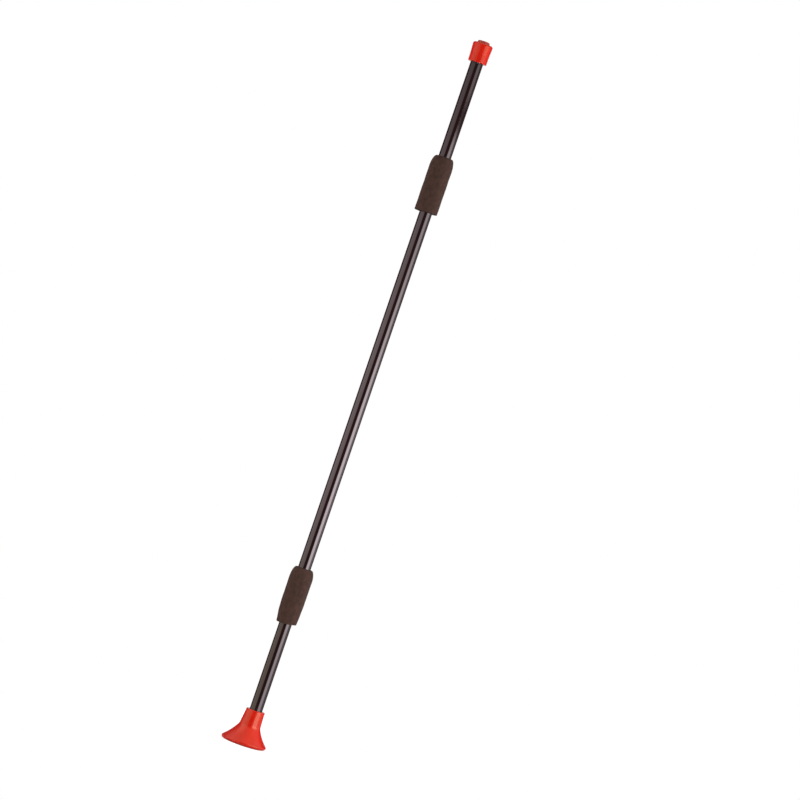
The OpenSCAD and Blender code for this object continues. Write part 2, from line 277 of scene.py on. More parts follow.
def rounded(corners):
    """Outline through corners (radius, height, rounding), each replaced by an arc that touches its two sides.

    With u and v the directions along the sides and h half the angle between them, the arc's middle lies
    rounding / sin h along u + v, and it starts and ends rounding / tan h along u and v.
    """
    corners = np.array(corners, float)
    point = corners[:, :2]
    size = corners[:, 2:]
    u = unit(np.roll(point, 1, 0) - point)
    v = unit(np.roll(point, -1, 0) - point)
    half = np.arccos(np.sum(u * v, 1, keepdims=True)) / 2
    middle = point + unit(u + v) * size / np.sin(half)
    start = point + u * size / np.tan(half) - middle
    end = point + v * size / np.tan(half) - middle
    sweep = pi - 2 * half
    share = np.linspace(0, 1, ARC_STEPS)[:, None, None]
    arcs = middle + (start * np.sin((1 - share) * sweep) + end * np.sin(share * sweep)) / np.sin(sweep)
    path = arcs.transpose(1, 0, 2).reshape(-1, 2)
    apart = np.linalg.norm(np.diff(path, axis=0), axis=1) > SAME_POINT
    return path[np.append(True, apart)]


def spaced(path, gap):
    """Path with points added on its straight sides, so that no two neighbours lie further apart than gap."""
    step = np.diff(path, axis=0)
    count = np.maximum(np.ceil(np.linalg.norm(step, axis=1) / gap), 1).astype(int)
    side = np.repeat(np.arange(len(step)), count)
    share = (np.arange(len(side)) - np.repeat(np.cumsum(count) - count, count)) / count[side]
    return np.vstack([path[side] + share[:, None] * step[side], path[-1:]])


def carried_round(path, turns=TURNS):
    """Grid of points: the outline (r, z) carried round the axis in even steps, x = r cos a, y = r sin a."""
    angle = np.linspace(0, 2 * pi, turns, endpoint=False)[:, None]
    radius, height = path.T
    return np.stack([radius * np.cos(angle), radius * np.sin(angle), height + 0 * angle], -1)


def around(grid):
    """Radius and angle of every point of a grid about the axis."""
    return np.hypot(grid[..., 0], grid[..., 1]), np.arctan2(grid[..., 1], grid[..., 0])


def with_radius(grid, radius):
    """The grid with its points moved straight out or in to new radii."""
    old, _ = around(grid)
    scale = np.divide(radius, old, out=np.ones_like(old), where=old > 0)
    return grid * np.stack([scale, scale, np.ones_like(scale)], -1)


def lumps(angle, height, seed):
    """Soft lumps between about -1 and 1: twice the mean of cosine waves, with random pitch and phase.

    Each wave has a whole number of crests round the axis, so the seam closes.
    """
    dice = np.random.default_rng(seed)
    crests = dice.integers(*LUMP_CRESTS, LUMP_WAVES)
    pitch = dice.uniform(*LUMP_PITCH, LUMP_WAVES)
    phase = dice.uniform(0, 2 * pi, LUMP_WAVES)
    return np.cos(crests * angle[..., None] + 2 * pi * height[..., None] / pitch + phase).mean(-1) * 2


def ridged(grid, height, width):
    """The grid with two raised mould lines, on its +X and -X sides.

    The radius grows by height times exp(-(s / width)^2), where s is a point's distance from the XZ plane.
    """
    radius, angle = around(grid)
    return with_radius(grid, radius + height * np.exp(-((radius * np.sin(angle) / width) ** 2)))


def hexagon(angle, width):
    """Distance from the axis to the side of a hexagon of that width across its flats, a corner at angle 0."""
    sector = 2 * pi / HEX
    return width / 2 / np.cos(np.mod(angle, sector) - sector / 2)


def skin(name, grid, poles):
    """Mesh of quads between neighbours on a grid [step round, point of the outline], closed round the axis.

    Without poles the outline closes on itself. With poles its two ends lie on the axis, and each becomes one
    vertex with a fan of triangles. Outlines run out along the bottom, up the outside and in along the top, so
    that the step round crossed with the step along points outwards.
    """
    body = grid[:, 1:-1] if poles else grid
    turns, rows = body.shape[:2]
    index = np.arange(turns * rows).reshape(turns, rows)
    beside = np.roll(index, -1, 0)
    quads = np.stack([index, beside, np.roll(beside, -1, 1), np.roll(index, -1, 1)], -1)
    points = body.reshape(-1, 3)
    faces = (quads[:, :-1] if poles else quads).reshape(-1, 4).tolist()
    if poles:
        low = np.full(turns, turns * rows)
        faces += np.stack([low, beside[:, 0], index[:, 0]], -1).tolist()
        faces += np.stack([index[:, -1], beside[:, -1], low + 1], -1).tolist()
        points = np.vstack([points, grid[0, 0], grid[0, -1]])
    mesh = bpy.data.meshes.new(name)
    mesh.from_pydata(points.tolist(), [], faces)
    mesh.shade_smooth()
    mesh.set_sharp_from_angle(angle=SHARP_ANGLE)
    return mesh


def placed(name, data):
    """Object with the given data, put into the scene at its origin."""
    made = bpy.data.objects.new(name, data)
    bpy.context.scene.collection.objects.link(made)
    return made


def reach(node):
    """Radius, lowest and highest height of a CAD node that is round about the axis."""
    low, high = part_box(node)
    return high.x, low.z, high.z


def piece(name, node, grid, poles=False):
    """Object over a grid that stands for a CAD node, in the node's finish and on its body."""
    made = placed(name, skin(name, grid, poles))
    made.data.materials.append(finish(SLOT_OF[node]))
    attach(made, BODY_OF[node])
    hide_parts(node)
    return made


def tube_path(radius, wall, bottom, top, bevel):
    """Closed outline of a tube: bevelled outside edges and lightly broken inside ones."""
    bore = radius - wall
    broken = bevel / 3
    return rounded([
        (bore, bottom, broken), (radius - bevel, bottom, broken), (radius, bottom + bevel, broken),
        (radius, top - bevel, broken), (radius - bevel, top, broken), (bore, top, broken),
    ])


def washer_path(radius, hole, bottom, top, edge):
    """Closed outline of a flat washer with rounded edges."""
    return rounded([(hole, bottom, edge), (radius, bottom, edge), (radius, top, edge), (hole, top, edge)])


# Materials

class Wire:
    """An output socket of a shader tree. Arithmetic on it adds Math nodes."""

    def __init__(self, tree, socket=None):
        self.tree = tree
        self.socket = socket

    def node(self, kind, settings=None, inputs=None, output=0):
        """Add a node: its settings first, then its inputs' values or links. Gives one of its outputs."""
        made = self.tree.nodes.new(kind)
        for name, value in (settings or {}).items():
            setattr(made, name, value)
        for name, value in (inputs or {}).items():
            if isinstance(value, Wire):
                self.tree.links.new(value.socket, made.inputs[name])
            else:
                made.inputs[name].default_value = value
        return Wire(self.tree, made.outputs[output] if made.outputs else None)

    def math(self, operation, first, second):
        """A Math node on two values."""
        return self.node("ShaderNodeMath", {"operation": operation}, {0: first, 1: second})

    def __add__(self, other):
        return self.math("ADD", self, other)

    def __sub__(self, other):
        return self.math("SUBTRACT", self, other)

    def __rsub__(self, other):
        return self.math("SUBTRACT", other, self)

    def __mul__(self, other):
        return self.math("MULTIPLY", self, other)

    __radd__ = __add__
    __rmul__ = __mul__

    def step(self, start, end):
        """0 before start and 1 after end, with a smooth step between them."""
        return self.node(
            "ShaderNodeMapRange", {"interpolation_type": "SMOOTHSTEP"},
            {"Value": self, "From Min": start, "From Max": end},
        )

    def mix(self, first, second):
        """Colour that goes from the first to the second as this value goes from 0 to 1."""
        return self.node("ShaderNodeMix", {"data_type": "RGBA"}, {0: self, 6: first, 7: second}, output=2)

    def shades(self, colour_value, dark, light, span=MIDDLE):
        """The colour from a darker to a lighter shade, as this value runs over a span."""
        return self.step(*span).mix(opaque(colour_value, dark), opaque(colour_value, light))

    def part(self, axis):
        """One of the three parts of this vector."""
        return self.node("ShaderNodeSeparateXYZ", {}, {"Vector": self}, output=axis)

    def noise(self, coordinates, scale, detail=2.0):
        """Noise of the given scale, in lumps per metre, about one half."""
        return self.node(
            "ShaderNodeTexNoise", {}, {"Vector": coordinates, "Scale": scale, "Detail": detail}, output="Fac"
        )

    def stretched(self, coordinates, scale):
        """Coordinates multiplied by a vector, to draw a pattern out along an axis."""
        return self.node("ShaderNodeMapping", {}, {"Vector": coordinates, "Scale": scale})

    def bump(self, height, depth):
        """Normal bent by a height pattern whose full range is the given depth."""
        return self.node("ShaderNodeBump", {}, {"Height": height, "Distance": depth, "Strength": 1.0})


def blank_tree(owner):
    """Emptied shader tree of a material, a light or the world."""
    owner.use_nodes = True
    owner.node_tree.nodes.clear()
    return Wire(owner.node_tree)


def opaque(colour_value, shade):
    """Colour with alpha, lightened or darkened by a factor."""
    return (*(min(channel * shade, 1) for channel in colour_value), 1)


def surface(name, sockets_of):
    """Material with one Principled shader. A function of tree and object coordinates gives its sockets."""
    material = bpy.data.materials.new(name)
    tree = blank_tree(material)
    coordinates = tree.node("ShaderNodeTexCoord", output="Object")
    shader = tree.node("ShaderNodeBsdfPrincipled", {}, sockets_of(tree, coordinates))
    tree.node("ShaderNodeOutputMaterial", {}, {"Surface": shader})
    return material


def gloss_paint(tree, at):
    """Gloss paint on steel tube: slow drift in tone, a fine orange peel, and long wipe marks in the gloss."""
    drift = tree.noise(tree.stretched(at, (30, 30, 5)), scale=1.0)
    wipes = tree.noise(tree.stretched(at, (500, 500, 25)), scale=1.0, detail=3.0)
    peel = tree.noise(at, scale=420, detail=1.0)
    return {
        "Base Color": drift.shades(bpy.context.scene.door_bar_colours.paint, dark=0.9, light=1.1),
        "Roughness": 0.055 + 0.045 * wipes,
        "IOR": 1.78,
        "Specular Tint": (1, 0.88, 0.9, 1),
        "Normal": tree.bump(peel, depth=0.00001),
    }


def rubber(colour_value, tone, base_roughness):
    """Moulded rubber: faint flow marks and bloom, a fine grain, and a scuffed, dusty sole at the floor."""
    def sockets(tree, at):
        flow = tree.noise(tree.stretched(at, (1, 1, 0.5)), scale=70, detail=3.0)
        bloom = tree.noise(at, scale=260, detail=3.0)
        grain = tree.noise(at, scale=2600)
        scuffs = tree.noise(at, scale=500, detail=4.0).step(*MIDDLE)
        worn = (1 - at.part("Z").step(0.0002, 0.0016)) * scuffs
        body = flow.shades(colour_value, dark=1 - tone, light=1 + tone)
        dust = (0.12, 0.09, 0.08, 1)
        return {
            "Base Color": (worn * 0.5).mix(body, dust),
            "Roughness": base_roughness + 0.12 * (bloom - 0.5) + 0.3 * worn,
            "Specular IOR Level": 0.60,
            "Specular Tint": (1, 0.78, 0.50, 1),
            "Normal": tree.bump(grain, depth=0.000008),
        }
    return sockets


def foam(tree, at):
    """Closed-cell foam: sub-millimetre cells, soft mottling, and here and there a sunk pore in painted shade.
    """
    colour_value = bpy.context.scene.door_bar_colours.foam
    cells = tree.node("ShaderNodeTexVoronoi", {}, {"Vector": at, "Scale": 1150.0}, output="Distance")
    pores = tree.node("ShaderNodeTexVoronoi", {}, {"Vector": at, "Scale": 420.0}, output="Distance")
    mottle = tree.noise(at, scale=170, detail=4.0)
    pore_pit_and_shade = 1 - pores.step(0.08, 0.3)
    tone = mottle.shades(colour_value, dark=0.78, light=1.22, span=(0.25, 0.75))
    return {
        # Pores are darkened towards a third of the foam's colour: painted shade in the pits, on top of their
        # sunk bump.
        "Base Color": (pore_pit_and_shade * 0.45 + cells * 0.2).mix(tone, opaque(colour_value, 0.35)),
        "Roughness": 0.86 + 0.12 * mottle,
        "Specular IOR Level": 0.2,
        "Normal": tree.bump(cells * 0.6 - pore_pit_and_shade * 0.9, depth=0.00025),
    }


def bright_plating(tree, at):
    """Bright plating on drawn tube: fine lines along the tube and a slow cloudiness."""
    lines = tree.noise(tree.stretched(at, (2600, 2600, 18)), scale=1.0, detail=3.0)
    cloud = tree.noise(at, scale=55, detail=3.0)
    return {
        "Base Color": cloud.shades(bpy.context.scene.door_bar_colours.plating, dark=0.93, light=1.04),
        "Metallic": 1.0,
        "Roughness": 0.14 + 0.16 * lines + 0.06 * cloud,
        "Normal": tree.bump(lines, depth=0.000006),
    }


def zinc_plating(tree, at):
    """Zinc plating on small steel pieces: a cool and a warm tint in patches, and a fine crystalline grain."""
    zinc = bpy.context.scene.door_bar_colours.zinc
    patch = tree.noise(at, scale=380, detail=3.0)
    grain = tree.noise(at, scale=5200)
    cool = (zinc[0] * 0.92, zinc[1] * 0.97, min(zinc[2] * 1.06, 1), 1)
    warm = (min(zinc[0] * 1.06, 1), zinc[1], zinc[2] * 0.86, 1)
    return {
        "Base Color": patch.step(*MIDDLE).mix(cool, warm),
        "Metallic": 1.0,
        "Roughness": 0.26 + 0.18 * grain,
        "Normal": tree.bump(grain, depth=0.000012),
    }


def moulded(colour_value, base_roughness):
    """Moulded nylon or small rubber goods: faint flow marks and a fine matt grain."""
    def sockets(tree, at):
        flow = tree.noise(tree.stretched(at, (1, 1, 0.4)), scale=300, detail=3.0)
        grain = tree.noise(at, scale=4200)
        return {
            "Base Color": flow.shades(colour_value, dark=0.9, light=1.08),
            "Roughness": base_roughness + 0.14 * (grain - 0.5),
            "Normal": tree.bump(grain, depth=0.000015),
        }
    return sockets


def finish(slot):
    """The material of one of the record's slots, made when it is first asked for."""
    colours = bpy.context.scene.door_bar_colours
    recipes = {
        "tube_paint": gloss_paint,
        "red_rubber": rubber(colours.rubber, tone=0.06, base_roughness=0.22),
        "foam": foam,
        "button_rubber": rubber(colours.button, tone=0.08, base_roughness=0.42),
        "plated_tube": bright_plating,
        "zinc_steel": zinc_plating,
        "nylon": moulded(colours.nylon, base_roughness=0.42),
        "black_nylon": moulded(colours.black, base_roughness=0.4),
        "black_rubber": moulded(colours.black, base_roughness=0.62),
    }
    name = slot + "_finish"
    return bpy.data.materials.get(name) or surface(name, recipes[slot])


# Operators

class DOORBAR_OT_stage(bpy.types.Operator):
    """Make the camera, the lights, the white surroundings and the pale floor"""

    bl_idname = "door_bar.stage"
    bl_label = "Stage"

    def execute(self, context):
        settings = context.scene.door_bar_stage
        add_camera(context.scene, settings)
        for name, box in SOFTBOXES.items():
            add_softbox(name, box, getattr(settings, name))
        add_surroundings(context.scene, settings)
        add_floor(settings.floor_radius)
        return {"FINISHED"}


def add_camera(scene, settings):
    """Camera level with the bar's middle, looking along +Y and rolled so that the bar leans."""
    lens = bpy.data.cameras.new("camera")
    lens.lens = lens.sensor_width * settings.distance / settings.view_width
    lens.clip_end = 100
    camera = placed("camera", lens)
    camera.location = (settings.aim_x, -settings.distance, settings.aim_z)
    camera.rotation_euler = (radians(90), -settings.roll, 0)
    scene.camera = camera


def fill_glow(height):
    """Colour and strength of the fill softbox: warm at the foot and cool above, weaker at both ends."""
    warm = (1, 0.93, 0.74, 1)
    cool = (1, 0.93, 0.94, 1)
    heart = height.step(0.05, 0.42) * (1 - height.step(0.55, 1.02))
    top = height.step(0.9, 1.18)
    return height.step(0.05, 0.35).mix(warm, cool), 0.7 + 0.3 * heart - 0.26 * top


def key_glow(height):
    """Colour and strength of the key softbox: half as strong at both ends, and a weak strip over a gap."""
    tint = (1, 1, 1.03, 1)
    heart = height.step(-0.05, 0.30) * (1 - height.step(0.42, 0.86))
    below_gap = 1 - height.step(1.052, 1.098)
    strip = height.step(1.126, 1.16)
    return tint, (0.49 + 0.48 * heart) * below_gap + 0.2 * strip


class Softbox(NamedTuple):
    """Place and glow of an upright area light.

    The bearing is in degrees from -Y towards +X. The glow rises and falls between shares of the width,
    counted the way that the bearing grows, and lean is how far it moves along them in a metre of height.
    """

    bearing: float
    distance: float
    width: float
    rise: tuple
    fall: tuple
    lean: float
    glow: object


SOFTBOXES = {
    "key": Softbox(
        bearing=55, distance=1.6, width=2.1, rise=(0.0, 0.2), fall=(0.60, 0.96), lean=0.08, glow=key_glow
    ),
    "rim": Softbox(
        bearing=98, distance=1.6, width=1.6, rise=(0.0, 0.2), fall=(0.8, 1.0), lean=0.0, glow=key_glow
    ),
    "fill": Softbox(
        bearing=-66, distance=1.0, width=2.4, rise=(0.04, 0.225), fall=(0.7475, 0.93), lean=0.082,
        glow=fill_glow,
    ),
}


def add_softbox(name, box, radiance):
    """Area light that faces the bar's axis, with a power in proportion to its area."""
    turn = radians(box.bearing)
    light = bpy.data.lights.new(name, "AREA")
    light.shape = "RECTANGLE"
    light.size = box.width
    light.size_y = SOFTBOX_HIGH - SOFTBOX_LOW
    light.energy = pi * light.size * light.size_y * radiance
    tree = blank_tree(light)
    height = tree.node("ShaderNodeNewGeometry", output="Position").part("Z")
    share = tree.node("ShaderNodeNewGeometry", output="Parametric").part("X")
    along = share - box.lean * height
    fade = along.step(*box.rise) * (1 - along.step(*box.fall))
    tint, strength = box.glow(height)
    glow = tree.node("ShaderNodeEmission", {}, {"Color": tint, "Strength": strength * fade})
    tree.node("ShaderNodeOutputLight", {}, {"Surface": glow})
    lamp = placed(name, light)
    middle = (SOFTBOX_LOW + SOFTBOX_HIGH) / 2
    lamp.location = (box.distance * sin(turn), -box.distance * cos(turn), middle)
    lamp.rotation_euler = (radians(90), 0, turn)
    lamp.visible_camera = False


def rays(tree):
    """Two masks: rays straight from the camera or through clear surfaces, and mirrored rays."""
    camera = tree.node("ShaderNodeLightPath", output="Is Camera Ray")
    clear = tree.node("ShaderNodeLightPath", output="Is Transmission Ray")
    mirrored = tree.node("ShaderNodeLightPath", output="Is Glossy Ray")
    return tree.math("MAXIMUM", camera, clear), mirrored


def add_surroundings(scene, settings):
    """World that is white for the camera.

    Gloss sees that white behind and above the bar, and a dim room before it. Matt surfaces get soft light
    from both sides, most of it from before the bar, and some from behind and above.
    """
    world = bpy.data.worlds.new("surroundings")
    tree = blank_tree(world)
    direction = tree.node("ShaderNodeTexCoord", output="Generated")
    rightward = direction.part("X")
    forward = direction.part("Y")
    overhead = direction.part("Z").step(0.4, 0.85)
    white = tree.math("MAXIMUM", forward.step(0.94, 0.985), overhead)
    gloss = settings.room + (1 - settings.room) * white
    sides = 7.5 * (1 - rightward.step(-0.95, -0.6)) + 8.0 * rightward.step(0.6, 0.95)
    before = 1 - 0.7 * forward.step(-0.3, 0.4)
    behind = 2.4 * forward.step(0.7, 0.98)
    soft = settings.ambient * (0.25 + sides * before + behind + overhead)
    seen, mirrored = rays(tree)
    strength = seen + (1 - seen) * (mirrored * gloss + (1 - mirrored) * soft)
    light = tree.node("ShaderNodeBackground", {}, {"Color": WHITE, "Strength": strength})
    tree.node("ShaderNodeOutputWorld", {}, {"Surface": light})
    scene.world = world


def add_floor(radius):
    """Round pale floor, seen only from above.

    It glows for the camera, less near the bar and to white further out, so that the light on it lifts it to
    white and only a shadow shows.
    """
    rim = carried_round(np.array([(radius, 0)]), FLOOR_TURNS)[:, 0]
    disc = bpy.data.meshes.new("floor")
    disc.from_pydata(rim.tolist(), [], [range(FLOOR_TURNS)])
    floor = placed("floor", disc)
    material = bpy.data.materials.new("floor")
    tree = blank_tree(material)
    at = tree.node("ShaderNodeTexCoord", output="Object")
    away = tree.node("ShaderNodeVectorMath", {"operation": "LENGTH"}, {0: at}, output="Value")
    grey = tree.noise(at, scale=90).mix((0.53, 0.53, 0.53, 1), (0.57, 0.57, 0.57, 1))
    seen, mirrored = rays(tree)
    strength = seen * (0.68 + 0.32 * away.step(0.15, 0.42)) + mirrored * 0.05
    glow = tree.node("ShaderNodeEmission", {}, {"Color": WHITE, "Strength": strength})
    matt = tree.node("ShaderNodeBsdfDiffuse", {}, {"Color": grey})
    lit = tree.node("ShaderNodeAddShader", {}, {0: glow, 1: matt})
    under = tree.node("ShaderNodeNewGeometry", output="Backfacing")
    gone = tree.node("ShaderNodeBsdfTransparent")
    shown = tree.node("ShaderNodeMixShader", {}, {0: under, 1: lit, 2: gone})
    tree.node("ShaderNodeOutputMaterial", {}, {"Surface": shown})
    floor.data.materials.append(material)


class DOORBAR_OT_outer_tube(bpy.types.Operator):
    """Make the painted outer tube, with the weld seam down its back"""

    bl_idname = "door_bar.outer_tube"
    bl_label = "Outer tube"

    def execute(self, context):
        sizes = context.scene.door_bar_tubes
        radius, bottom, top = reach("outer_tube")
        path = tube_path(radius, sizes.outer_wall, bottom, top, sizes.end_bevel)
        grid = carried_round(spaced(path, TUBE_STEP))
        distance, angle = around(grid)
        outside = distance > radius - sizes.outer_wall / 2
        seam = np.exp(-((radius * (angle - pi / 2) / sizes.seam_width) ** 2)) * outside
        piece("painted_tube", "outer_tube", with_radius(grid, distance + sizes.seam_height * seam))
        return {"FINISHED"}


class DOORBAR_OT_foot(bpy.types.Operator):
    """Make the flared rubber foot: treaded sole, rounded lip, hollow flare, neck and socket"""

    bl_idname = "door_bar.foot"
    bl_label = "Foot"

    def execute(self, context):
        sizes = context.scene.door_bar_foot
        tube_radius = reach("outer_tube")[0]
        lip_radius, _, top = reach("foot")
        sole = carried_round(spaced(sole_path(sizes), SOLE_STEP), RUBBER_TURNS)
        shell = spaced(shell_path(sizes, tube_radius, lip_radius, top), RUBBER_STEP)
        shell = ridged(carried_round(shell, RUBBER_TURNS), sizes.flash, sizes.flash_width)
        outside = np.concatenate([sole, shell], 1)
        outside[..., 0] -= sizes.skew * (1 - outside[..., 2] / top)
        socket = carried_round(socket_path(sizes, tube_radius + PRESS_GAP, top), RUBBER_TURNS)
        piece("rubber_foot", "foot", np.concatenate([outside, socket], 1), poles=True)
        return {"FINISHED"}


def sole_path(sizes):
    """Outline of the sole from its middle outwards: the cup, then a ring groove at every step."""
    cup = sizes.cup_radius
    deep = sizes.ring_depth
    corners = [(0, deep, 0), (cup, deep, SOFT_EDGE), (cup, 0, SOFT_EDGE)]
    for ring in range(sizes.rings):
        outer = cup + sizes.ring_step * (ring + 1)
        inner = outer - sizes.ring_width
        groove = [(inner, 0), (inner, deep), (outer, deep), (outer, 0)]
        corners += [(*corner, SOFT_EDGE) for corner in groove]
    corners[-1] = (outer, 0, 0)
    return rounded(corners)


def shell_path(sizes, tube_radius, lip_radius, top):
    """Outline of the foot's outside, from the sole's edge up to the neck's mouth."""
    neck_radius = tube_radius + sizes.neck_wall
    mouth_radius = tube_radius + sizes.mouth_wall
    chord = np.array([neck_radius - lip_radius, sizes.neck_height - sizes.lip_height])
    span = np.linalg.norm(chord)
    inwards = np.array([-chord[1], chord[0]]) / span
    middle = np.array([lip_radius, sizes.lip_height]) + chord / 2 + sizes.hollow * inwards
    hollow_rounding = BEND_SHARE * span / 2 / tan(np.arctan(2 * sizes.hollow / span))
    line = sizes.sole_rounding + sizes.flash_rise
    return rounded([
        (lip_radius - 2 * sizes.sole_rounding, 0, 0),
        (lip_radius, 0, sizes.sole_rounding),
        (lip_radius, line - sizes.flash_width, 0),
        (lip_radius + sizes.flash, line, 0),
        (lip_radius, line + sizes.flash_width, 0),
        (lip_radius, sizes.lip_height, sizes.lip_rounding),
        (*middle, hollow_rounding),
        (neck_radius, sizes.neck_height, sizes.neck_blend),
        (mouth_radius, top, sizes.mouth_rounding),
        (tube_radius + sizes.mouth_wall / 2, top, 0),
    ])


def socket_path(sizes, radius, top):
    """Outline of the socket, from the bevel at the neck's mouth down to the middle of its floor."""
    bevel = 0.0008
    return rounded([
        (radius + bevel, top, 0), (radius, top - bevel, FINE_EDGE), (radius, sizes.floor, SOFT_EDGE),
        (0, sizes.floor, 0),
    ])


class DOORBAR_OT_grips(bpy.types.Operator):
    """Make the two foam grips: round-shouldered above, cut a little crooked below"""

    bl_idname = "door_bar.grips"
    bl_label = "Grips"

    def execute(self, context):
        sizes = context.scene.door_bar_grips
        shape_of = {
            "lower": (sizes.draw, sizes.lower_slant, 0, LOWER_SEED),
            "upper": (0, sizes.upper_slant, sizes.upper_shift, UPPER_SEED),
        }
        for place, shape in shape_of.items():
            node = place + "_grip"
            piece(place + "_foam", node, foam_sleeve(node, sizes, *shape))
        return {"FINISHED"}


def foam_sleeve(node, sizes, draw, slant, shift, seed):
    """Grid of a foam sleeve: an outline carried round the tube, lumps in its skin and a crooked lower cut.

    The outline's top end is a quarter of an ellipse. The cut rises by slant towards +X and fades out upwards;
    on the -X side the lower end draws in a little more. The skin sits off the axis by shift, the bore on it.
    """
    radius, bottom, top = reach(node)
    bore = reach("outer_tube")[0] + PRESS_GAP
    straight = min(sizes.draw_length, top - bottom - sizes.draw_length - sizes.dome)
    blend = BEND_SHARE * straight / tan(np.arctan(sizes.draw / sizes.draw_length) / 2)
    drawn = [(radius, bottom + sizes.draw_length, blend)] if draw else []
    turn = np.linspace(0, pi / 2, 2 * ARC_STEPS)
    dome_radius = radius - sizes.shoulder * (1 - np.cos(turn))
    dome_height = top - sizes.dome * (1 - np.sin(turn))
    dome = np.column_stack([dome_radius, dome_height, np.zeros(len(turn))])
    path = rounded([
        (bore, bottom, sizes.bore_edge), (radius - draw, bottom, sizes.cut_edge), *drawn, *dome,
        (bore, top, sizes.bore_edge),
    ])
    grid = carried_round(spaced(path, FOAM_STEP), FOAM_TURNS)
    distance, angle = around(grid)
    height = grid[..., 2]
    wall = np.clip((distance - bore) / (radius - bore), 0, 1)
    side = grid[..., 0] / radius
    left = smooth(side, 0.1, -0.9)
    right = smooth(side, -0.3, 1.0)
    low = 1 - smooth(height, bottom, bottom + sizes.cut_reach)
    swell = sizes.lump * (lumps(angle, height, seed) - 1)
    grid = with_radius(grid, distance + wall * (swell - draw * left * low))
    grid[..., 0] -= shift * wall
    grid[..., 2] += slant * right * low
    return grid


class DOORBAR_OT_cap(bpy.types.Operator):
    """Make the rubber cap and the button pushed into it"""

    bl_idname = "door_bar.cap"
    bl_label = "Cap and button"

    def execute(self, context):
        sizes = context.scene.door_bar_cap
        rubber_sizes = context.scene.door_bar_foot
        inner_radius = reach("inner_tube")[0]
        _, bottom, top = reach("top_cap")
        waist = inner_radius + sizes.wall
        stem = sizes.stem_radius + PRESS_GAP
        socket = inner_radius + PRESS_GAP
        cap_floor = bottom + sizes.socket
        bend = np.arctan(sizes.flare / (top - bottom - sizes.waist_height))
        path = rounded([
            (socket, bottom, sizes.socket_edge),
            (waist, bottom, sizes.mouth_rounding),
            (waist, bottom + sizes.waist_height, BEND_SHARE * sizes.waist_height / tan(bend / 2)),
            (waist + sizes.flare, top, sizes.shoulder),
            (stem, top, SOFT_EDGE),
            (stem, cap_floor, FINE_EDGE),
            (socket, cap_floor, SOFT_EDGE),
        ])
        grid = carried_round(spaced(path, RUBBER_STEP), RUBBER_TURNS)
        skin_depth = 0.0005
        outside = around(grid)[0] > waist - skin_depth
        lined = ridged(grid, rubber_sizes.flash, rubber_sizes.flash_width)
        piece("rubber_cap", "top_cap", np.where(outside[..., None], lined, grid))
        piece("cap_head", "cap_button", carried_round(button_path(sizes)), poles=True)
        return {"FINISHED"}


def button_path(sizes):
    """Outline of the button from the tip of its barbed stem up to the middle of its head."""
    radius, bottom, top = reach("cap_button")
    under = top - sizes.button_height
    barb = (reach("inner_tube")[2] - bottom) / sizes.barbs
    core = sizes.stem_radius - sizes.barb_depth
    corners = [(0, bottom, 0)]
    for place in range(sizes.barbs):
        start = bottom + barb * place
        corners += [(core, start, 0), (sizes.stem_radius, start + barb, 0)]
    corners += [
        (sizes.stem_radius, under, 0), (radius, under, SOFT_EDGE), (radius, top, sizes.button_rounding),
        (0, top, 0),
    ]
    return spaced(rounded(corners), RUBBER_STEP)


class DOORBAR_OT_inner_tube(bpy.types.Operator):
    """Make the plated inner tube, drilled for the plug's pins, and the bush that guides it"""

    bl_idname = "door_bar.inner_tube"
    bl_label = "Inner tube and bush"

    def execute(self, context):
        sizes = context.scene.door_bar_tubes
        radius, bottom, top = reach("inner_tube")
        path = tube_path(radius, sizes.inner_wall, bottom, top, sizes.end_bevel)
        made = piece("plated_tube", "inner_tube", carried_round(spaced(path, PLATED_STEP)))
        past_wall = 1.2 * radius
        drill(made, bottom + sizes.pin_height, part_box("front_pin")[1].x + PRESS_GAP, past_wall)
        piece("guide_bush", "mouth_bush", carried_round(bush_path(sizes, radius)))
        return {"FINISHED"}


def drill(target, height, radius, half):
    """Cut a round hole straight through a piece along Y, with an exact Boolean that is then applied."""
    rod = np.array([(0, -half), (radius, -half), (radius, half), (0, half)])
    grid = laid_along_y(carried_round(rod, PIN_TURNS), 0, height)
    cutter = placed("drill", skin("drill", grid, poles=True))
    cut = target.modifiers.new("pin hole", "BOOLEAN")
    cut.operation = "DIFFERENCE"
    cut.solver = "EXACT"
    cut.object = cutter
    drilled = target.evaluated_get(bpy.context.evaluated_depsgraph_get())
    mesh = bpy.data.meshes.new_from_object(drilled)
    target.modifiers.clear()
    target.data = mesh
    mesh.set_sharp_from_angle(angle=SHARP_ANGLE)
    bpy.data.objects.remove(cutter)


def laid_along_y(grid, place, height):
    """The grid turned a quarter about X, so that z runs along -Y, then moved to a place on Y and a height."""
    return np.stack([grid[..., 0], place - grid[..., 2], grid[..., 1] + height], -1)


def bush_path(sizes, inner_radius):
    """Closed outline of the bush: a flange on the tube's mouth, and a relief between two guiding lands."""
    flange, bottom, top = reach("mouth_bush")
    outside = flange - sizes.outer_wall - PRESS_GAP
    bore = inner_radius + 2 * PRESS_GAP
    relief = inner_radius + FREE_GAP
    lead = sizes.bush_lead
    return rounded([
        (bore + lead, bottom, 0), (outside, bottom, FINE_EDGE), (outside, top - sizes.bush_flange, 0),
        (flange, top - sizes.bush_flange, FINE_EDGE), (flange, top, FINE_EDGE), (bore + lead, top, 0),
        (bore, top - lead, 0), (bore, top - sizes.bush_land, 0), (relief, top - sizes.bush_land, 0),
        (relief, bottom + sizes.bush_land, 0), (bore, bottom + sizes.bush_land, 0), (bore, bottom + lead, 0),
    ])


